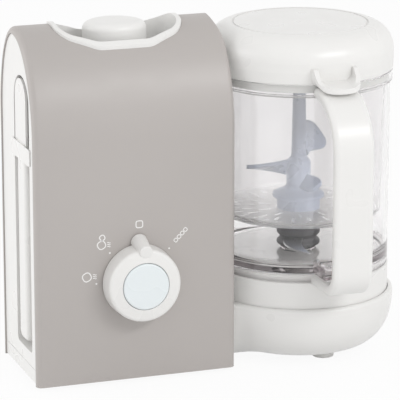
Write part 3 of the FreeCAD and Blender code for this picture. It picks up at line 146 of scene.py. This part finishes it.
def blend(tree, share, first, second):
    """Colour that goes from a plain first to a linked second as the share goes from 0 to 1."""
    mix = tree.nodes.new("ShaderNodeMixRGB")
    mix.inputs["Color1"].default_value = (*first, 1)
    tree.links.new(share, mix.inputs["Fac"])
    tree.links.new(second, mix.inputs["Color2"])
    return mix.outputs["Color"]


def larger(tree, first, second):
    """The larger of two linked values."""
    node = tree.nodes.new("ShaderNodeMath")
    node.operation = "MAXIMUM"
    tree.links.new(first, node.inputs[0])
    tree.links.new(second, node.inputs[1])
    return node.outputs[0]


def see_through(name, colour, clear, rough, ior=1.49, waves=60.0, heights=None, thin_foot_painted_light=None, soak=0.0):
    """Clear moulded plastic with slightly wavy walls.

    Lamps light what is behind it, and rays that have crossed many walls go straight on, so that thick
    corners do not turn black. Between two heights the gloss changes, or, with the colour of a slim-walled
    foot given, the shade: painted light, a paler foot below fading into the darker colour above as painted
    shade from the lid, partly the slim wall's paler look. Soak is how strongly the plastic's own tint shows
    where it is thick.
    """
    made, tree, shader = new_material(name)
    darker = tuple(c * 0.985 for c in colour)
    shade = tint(tree, noise(tree, 30.0), darker, colour)
    # Painted light: the paler foot colour fades by height into the darker colour above, which stands in for
    # the lid's shade on the upper column; the slim foot wall is partly why it is paler.
    if thin_foot_painted_light:
        shade = blend(tree, by_height(tree, *heights, 0.0, 1.0), thin_foot_painted_light, shade)
    if heights and not thin_foot_painted_light:
        gloss = by_height(tree, *heights, *rough)
    else:
        gloss = spread(tree, noise(tree, 90.0), *rough)
    tree.links.new(shade, shader.inputs["Base Color"])
    tree.links.new(gloss, shader.inputs["Roughness"])
    relief(tree, shader, noise(tree, waves, 1.0), 0.3, 0.00003)
    shader.inputs["Transmission Weight"].default_value = clear
    shader.inputs["IOR"].default_value = ior
    path = tree.nodes.new("ShaderNodeLightPath")
    late = tree.nodes.new("ShaderNodeMapRange")
    late.inputs["From Min"].default_value = 4.0
    late.inputs["From Max"].default_value = 7.0
    tree.links.new(path.outputs["Ray Depth"], late.inputs["Value"])
    unseen = larger(tree, path.outputs["Is Shadow Ray"], path.outputs["Is Diffuse Ray"])
    passing = tree.nodes.new("ShaderNodeBsdfTransparent")
    mix = tree.nodes.new("ShaderNodeMixShader")
    tree.links.new(larger(tree, unseen, late.outputs["Result"]), mix.inputs["Fac"])
    tree.links.new(shader.outputs["BSDF"], mix.inputs[1])
    tree.links.new(passing.outputs["BSDF"], mix.inputs[2])
    tree.links.new(mix.outputs["Shader"], tree.nodes["Material Output"].inputs["Surface"])
    if soak:
        inside = tree.nodes.new("ShaderNodeVolumeAbsorption")
        inside.inputs["Color"].default_value = (0.5, 0.42, 0.44, 1)
        inside.inputs["Density"].default_value = soak
        tree.links.new(inside.outputs["Volume"], tree.nodes["Material Output"].inputs["Volume"])
    return made


def metal(name, colour, rough, stretch=None):
    """Metal with fine tool marks."""
    made, tree, shader = new_material(name)
    darker = tuple(c * 0.88 for c in colour)
    marks = noise(tree, 900.0, 4.0, stretch)
    tree.links.new(tint(tree, marks, darker, colour), shader.inputs["Base Color"])
    tree.links.new(spread(tree, marks, *rough), shader.inputs["Roughness"])
    relief(tree, shader, marks, 0.3, 0.000015)
    shader.inputs["Metallic"].default_value = 1.0
    return made


TAUPE = moulded("taupe_satin", (0.465, 0.435, 0.417), 0.975, (0.36, 0.44))
WHITE = moulded("white_soft_gloss", (0.82, 0.813, 0.797), 0.985, (0.26, 0.36))
COOL_WHITE = moulded("button_white", (0.80, 0.85, 0.865), 0.98, (0.24, 0.32))
CLEAR = see_through("clear_bowl", (1.0, 1.0, 1.0), 1.0, (0.0, 0.02), soak=15.0)
MILKY = see_through("milky_basket", (0.965, 0.957, 0.96), 0.92, (0.3, 0.04),
                    heights=(BASKET_FLOOR + 0.003, BASKET_FLOOR + 0.007))
# Paddle: painted light and shade, a paler, bluer foot and a darker column above where the lid's shade falls.
BLUE_GREY = see_through("tinted_paddle", (0.37, 0.405, 0.485), 0.3, (0.25, 0.36), 1.45, 200.0,
                        heights=(PADDLE_FOOT + 0.035, PADDLE_FOOT + 0.07), thin_foot_painted_light=(0.62, 0.68, 0.82))
DARK = moulded("dark_hub", (0.08, 0.078, 0.083), 0.8, (0.4, 0.55), 1800.0, 0.00004, 0.4)
STEEL = metal("brushed_steel", (0.72, 0.72, 0.73), (0.2, 0.36), (1.0, 14.0, 1.0))
ALUMINIUM = metal("cast_aluminium", (0.74, 0.74, 0.75), (0.4, 0.6))
ZINC = metal("zinc_plate", (0.5, 0.51, 0.52), (0.3, 0.5))
BRONZE = metal("bearing_bronze", (0.6, 0.4, 0.2), (0.35, 0.55))
PALE_RUBBER = moulded("pale_rubber", (0.72, 0.72, 0.70), 0.94, (0.55, 0.7), 1500.0, 0.00004, 0.35)
WHITE_RUBBER = moulded("white_rubber", (0.84, 0.83, 0.81), 0.96, (0.5, 0.62), 1200.0, 0.000006, 0.3)
BLACK_RUBBER = moulded("black_rubber", (0.025, 0.025, 0.027), 0.8, (0.5, 0.7), 1500.0, 0.00005, 0.4)
BOARD = moulded("green_board", (0.03, 0.16, 0.07), 0.8, (0.3, 0.5), 900.0, 0.00005, 0.3)
PRINT = moulded("pale_print", (0.86, 0.85, 0.84), 0.97, (0.4, 0.5), 2000.0, 0.00001, 0.15)

FINISH = {
    "outer_shell": TAUPE, "start_button": COOL_WHITE,
    "bowl": CLEAR, "steam_basket": MILKY, "paddle": BLUE_GREY,
    "blade_hub": DARK, "drive_coupling": DARK, "drive_pulley": DARK, "selector_shaft": DARK,
    "blades": STEEL, "blade_spindle": STEEL, "drive_shaft": STEEL, "motor_shaft": STEEL,
    "cover_screws": STEEL, "button_spring": STEEL,
    "motor_pulley": ALUMINIUM, "water_tank": ALUMINIUM, "heating_plate": ALUMINIUM, "thermostat": ALUMINIUM,
    "motor": ZINC, "motor_bracket": ZINC, "drive_bearing": BRONZE,
    "lid_seal": PALE_RUBBER, "boiler_cap_seal": PALE_RUBBER, "steam_hose": PALE_RUBBER,
    "feet": WHITE_RUBBER, "cord_gland": BLACK_RUBBER, "drive_belt": BLACK_RUBBER, "control_board": BOARD,
}
for name, node in nodes.items():
    node.data.materials.clear()
    node.data.materials.append(FINISH.get(name, WHITE))


# Printed marks round the dial

def mesh_piece(name, form, finish, body):
    """Object from a bmesh, riding on a CAD body."""
    mesh = bpy.data.meshes.new(name)
    form.to_mesh(mesh)
    form.free()
    piece = bpy.data.objects.new(name, mesh)
    bpy.context.scene.collection.objects.link(piece)
    mesh.materials.append(finish)
    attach(piece, body)
    return piece


def stroke(form, points, width, closed):
    """Flat raised line along (x, z) points on the tower's front."""
    count = len(points)
    rows = []
    for i in range(count):
        before = points[(i - 1) % count] if closed or i > 0 else points[i]
        after = points[(i + 1) % count] if closed or i < count - 1 else points[i]
        along = (Vector(after) - Vector(before)).normalized()
        across = Vector((-along.y, along.x)) * width / 2
        row = []
        for side, rise in ((1, -PRINT_SINK), (1, PRINT_RISE), (-1, PRINT_RISE), (-1, -PRINT_SINK)):
            spot = Vector(points[i]) + across * side
            row.append(form.verts.new((spot.x, TOWER_FRONT - rise, spot.y)))
        rows.append(row)
    for i in range(count if closed else count - 1):
        here = rows[i]
        there = rows[(i + 1) % count]
        for k in range(3):
            form.faces.new((here[k], here[k + 1], there[k + 1], there[k]))


def rounded_loop(x, z, half, power, turn=0.0):
    """Points of a soft square (power 4) or a ring (power 2) round (x, z)."""
    points = []
    for i in range(LOOP_POINTS):
        angle = 2 * math.pi * i / LOOP_POINTS
        a = math.copysign(abs(math.cos(angle)) ** (2 / power), math.cos(angle)) * half
        b = math.copysign(abs(math.sin(angle)) ** (2 / power), math.sin(angle)) * half
        across = a * math.cos(turn) - b * math.sin(turn)
        up = a * math.sin(turn) + b * math.cos(turn)
        points.append((x + across, z + up))
    return points


def wave(x, z, length):
    """Short wavy line to the right."""
    return [(x + length * i / WAVE_STEPS, z + WAVE_RISE * math.sin(2 * math.pi * i / WAVE_STEPS))
            for i in range(WAVE_STEPS + 1)]


def dial_marks():
    """Generic marks for the four settings: steam, steam and blend, off, and short turns."""
    form = bmesh.new()
    line = MARK_LINE
    place = Vector((TOWER_LEFT + STEAM_MARK[0], STEAM_MARK[1]))
    stroke(form, rounded_loop(place.x, place.y, 0.0031, LOOP_POWER, LOOP_TURN), line, True)
    for step in WAVE_HEIGHTS:
        stroke(form, wave(place.x + 0.0046, place.y + step, 0.0026), line * 0.75, False)
    place = Vector((TOWER_LEFT + BLEND_MARK[0], BLEND_MARK[1]))
    stroke(form, rounded_loop(place.x, place.y, 0.0029, LOOP_POWER, LOOP_TURN), line, True)
    stroke(form, rounded_loop(place.x + 0.0006, place.y + 0.0054, 0.0019, LOOP_POWER, LOOP_TURN), line, True)
    for step in WAVE_HEIGHTS:
        stroke(form, wave(place.x + 0.0043, place.y + step, 0.0024), line * 0.75, False)
    stroke(form, rounded_loop(TOWER_LEFT + OFF_MARK[0], OFF_MARK[1], 0.0025, 4.0), line, True)
    for step in (-1.5, -0.5, 0.5, 1.5):
        x = TOWER_LEFT + TURNS_MARK[0] + TURNS_STEP * step
        z = TURNS_MARK[1] + TURNS_STEP * step
        stroke(form, rounded_loop(x, z, 0.0013, 3.0, math.pi / 4), line * 0.8, True)
    for x, z in MARK_DOTS:
        stroke(form, rounded_loop(TOWER_LEFT + x, z, 0.00035, 2.0), 0.0007, True)
    mesh_piece("dial_marks", form, PRINT, "housing")


dial_marks()


# Floor, light and camera

FLOOR_HALF = 6.0
FLOOR_DROP = 0.0002    # below the feet
FLOOR_WHITE = 0.93     # share of plain white that seen rays get, the rest being the shadow
AMBIENT = 0.76
CAMERA_YAW = 19.285    # degrees
CAMERA_PITCH = 15.148
CAMERA_LENS = 251.95   # mm
CAMERA_LEFT = 0.5157   # left of the tower's left edge
CAMERA_AHEAD = 1.8243  # in front of the tower
CAMERA_HEIGHT = 0.6549


def seen_rays(tree):
    """1 for rays from the camera, off gloss and through clear plastic, and 0 for the rest."""
    path = tree.nodes.new("ShaderNodeLightPath")
    first = larger(tree, path.outputs["Is Camera Ray"], path.outputs["Is Glossy Ray"])
    return larger(tree, first, path.outputs["Is Transmission Ray"])


def make_floor():
    """White floor that keeps a faint shadow."""
    form = bmesh.new()
    bmesh.ops.create_grid(form, x_segments=1, y_segments=1, size=FLOOR_HALF)
    mesh = bpy.data.meshes.new("floor")
    form.to_mesh(mesh)
    form.free()
    floor = bpy.data.objects.new("floor", mesh)
    floor.location = (0, 0, -FLOOR_DROP)
    bpy.context.scene.collection.objects.link(floor)
    made, tree, shader = new_material("floor_white")
    shader.inputs["Base Color"].default_value = (0.85, 0.85, 0.85, 1)
    shader.inputs["Roughness"].default_value = 0.7
    shader.inputs["Specular IOR Level"].default_value = 0.1
    glow = tree.nodes.new("ShaderNodeEmission")
    share = tree.nodes.new("ShaderNodeMath")
    share.operation = "MULTIPLY"
    share.inputs[1].default_value = FLOOR_WHITE
    tree.links.new(seen_rays(tree), share.inputs[0])
    mix = tree.nodes.new("ShaderNodeMixShader")
    tree.links.new(share.outputs[0], mix.inputs["Fac"])
    tree.links.new(shader.outputs["BSDF"], mix.inputs[1])
    tree.links.new(glow.outputs["Emission"], mix.inputs[2])
    tree.links.new(mix.outputs["Shader"], tree.nodes["Material Output"].inputs["Surface"])
    mesh.materials.append(made)


def make_world():
    """Even light all round, which looks white."""
    world = bpy.data.worlds.new("studio")
    bpy.context.scene.world = world
    world.use_nodes = True
    tree = world.node_tree
    ambient = tree.nodes["Background"]
    ambient.inputs["Color"].default_value = (1, 1, 1, 1)
    ambient.inputs["Strength"].default_value = AMBIENT
    white = tree.nodes.new("ShaderNodeBackground")
    white.inputs["Color"].default_value = (1, 1, 1, 1)
    mix = tree.nodes.new("ShaderNodeMixShader")
    tree.links.new(seen_rays(tree), mix.inputs["Fac"])
    tree.links.new(ambient.outputs["Background"], mix.inputs[1])
    tree.links.new(white.outputs["Background"], mix.inputs[2])
    tree.links.new(mix.outputs["Shader"], tree.nodes["World Output"].inputs["Surface"])


def softbox(name, place, target, width, height, power):
    """Rectangular lamp at a place, turned to a target."""
    lamp = bpy.data.lights.new(name, "AREA")
    lamp.shape = "RECTANGLE"
    lamp.size = width
    lamp.size_y = height
    lamp.energy = power
    holder = bpy.data.objects.new(name, lamp)
    holder.location = place
    holder.rotation_euler = (Vector(target) - Vector(place)).to_track_quat("-Z", "Y").to_euler()
    bpy.context.scene.collection.objects.link(holder)


def make_camera():
    """Camera at the photograph's viewing angle, worked out from the tower's edges."""
    yaw = math.radians(CAMERA_YAW)
    pitch = math.radians(CAMERA_PITCH)
    level = math.cos(pitch)
    ahead = Vector((math.sin(yaw) * level, math.cos(yaw) * level, -math.sin(pitch)))
    right = Vector((math.cos(yaw), -math.sin(yaw), 0))
    data = bpy.data.cameras.new("photo_camera")
    data.sensor_width = 36
    data.lens = CAMERA_LENS
    data.clip_end = 20
    holder = bpy.data.objects.new("photo_camera", data)
    turn = Matrix((right, right.cross(ahead), -ahead)).transposed()
    place = Vector((TOWER_LEFT - CAMERA_LEFT, TOWER_FRONT - CAMERA_AHEAD, CAMERA_HEIGHT))
    holder.matrix_world = Matrix.Translation(place) @ turn.to_4x4()
    bpy.context.scene.collection.objects.link(holder)
    bpy.context.scene.camera = holder


make_floor()
make_world()
softbox("key", (0.55, -1.2, 0.98), (0, 0, 0.15), 0.9, 0.25, 6.4)
softbox("front", (-0.1, -1.9, 0.4), (0, 0, 0.12), 1.2, 0.8, 1.5)
softbox("side", (-1.4, 0.35, 0.5), (0, 0, 0.12), 0.8, 0.9, 6)
make_camera()
bpy.context.scene.view_settings.view_transform = "Standard"
